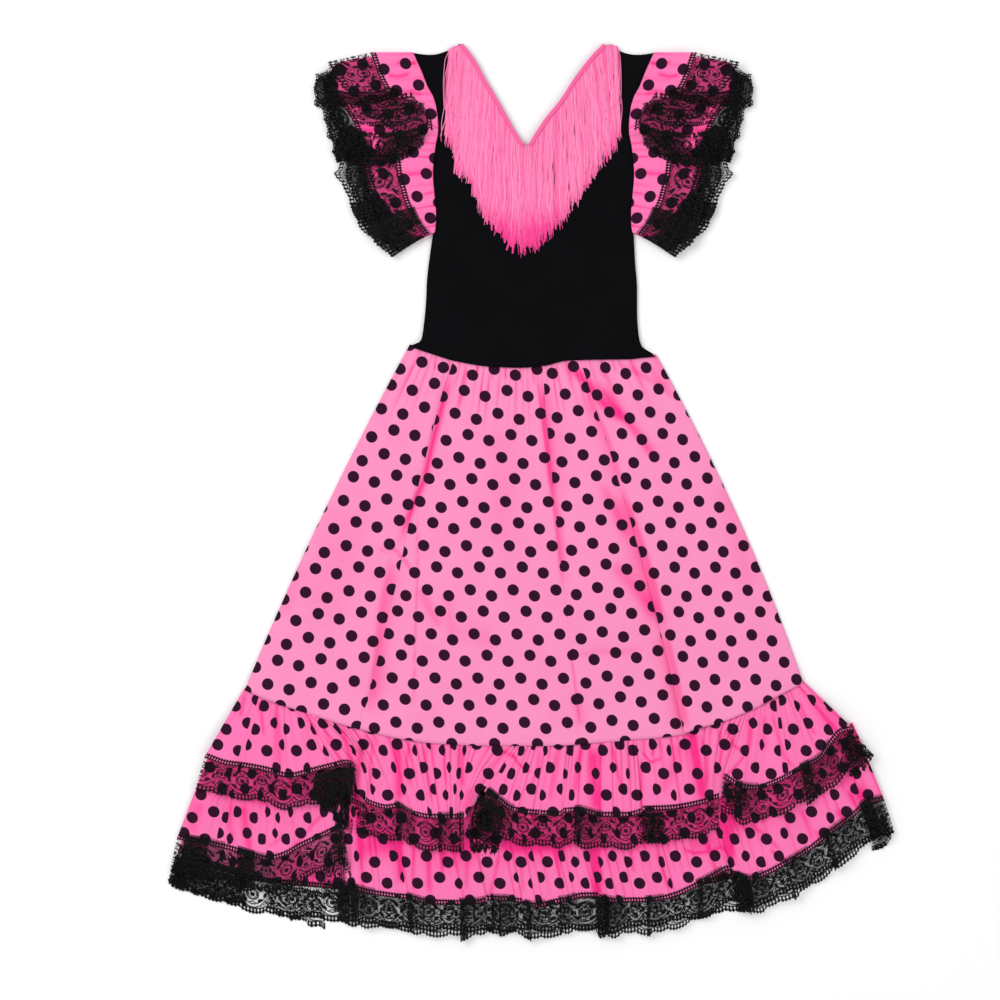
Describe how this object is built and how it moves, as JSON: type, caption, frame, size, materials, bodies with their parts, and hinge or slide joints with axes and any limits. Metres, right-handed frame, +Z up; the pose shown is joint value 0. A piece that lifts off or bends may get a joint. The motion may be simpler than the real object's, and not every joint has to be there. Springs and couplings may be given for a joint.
{
  "type": "flamenco dress",
  "caption": "Child's flamenco dress laid flat: black knit bodice with a fringed V neck, gathered sleeves and a dotted pink skirt with lace-edged flounces.",
  "frame": {"origin": "centre of the dress's outline as it lies, on the surface under it", "axes": "+Y towards the neck, +Z up out of the front, +X to the right of someone looking down at the front"},
  "size_m": [0.7261, 0.8983, 0.0148],
  "materials": {
    "knit": "matte black stretch knit",
    "cotton": "pink plain-weave cotton with black dots",
    "lace": "black raschel lace with scalloped edge",
    "fringe": "shiny pink rayon cord fringe on a braid"
  },
  "bodies": {
    "root": {"bodice_back": "knit", "bodice_front": "knit", "lower_flounce_back": "cotton", "lower_flounce_front": "cotton", "lower_lace_back": "lace", "lower_lace_front_1": "lace", "lower_lace_front_2": "lace", "neck_fringe_left": "fringe", "neck_fringe_right": "fringe", "skirt_back": "cotton", "skirt_front": "cotton", "sleeve_left_lower_lace_back": "lace", "sleeve_left_lower_lace_front": "lace", "sleeve_left_lower_ruffle_back": "cotton", "sleeve_left_lower_ruffle_front": "cotton", "sleeve_left_upper_lace_back": "lace", "sleeve_left_upper_lace_front_1": "lace", "sleeve_left_upper_lace_front_2": "lace", "sleeve_left_upper_lace_front_3": "lace", "sleeve_left_upper_ruffle_back": "cotton", "sleeve_left_upper_ruffle_front": "cotton", "sleeve_right_lower_lace_back": "lace", "sleeve_right_lower_lace_front": "lace", "sleeve_right_lower_ruffle_back": "cotton", "sleeve_right_lower_ruffle_front": "cotton", "sleeve_right_upper_lace_back": "lace", "sleeve_right_upper_lace_front_1": "lace", "sleeve_right_upper_lace_front_2": "lace", "sleeve_right_upper_lace_front_3": "lace", "sleeve_right_upper_ruffle_back": "cotton", "sleeve_right_upper_ruffle_front": "cotton", "upper_flounce_back": "cotton", "upper_flounce_front": "cotton", "upper_lace_back": "lace", "upper_lace_front_1": "lace", "upper_lace_front_2": "lace", "upper_lace_front_3": "lace", "upper_lace_front_4": "lace"}
  },
  "joints": []
}
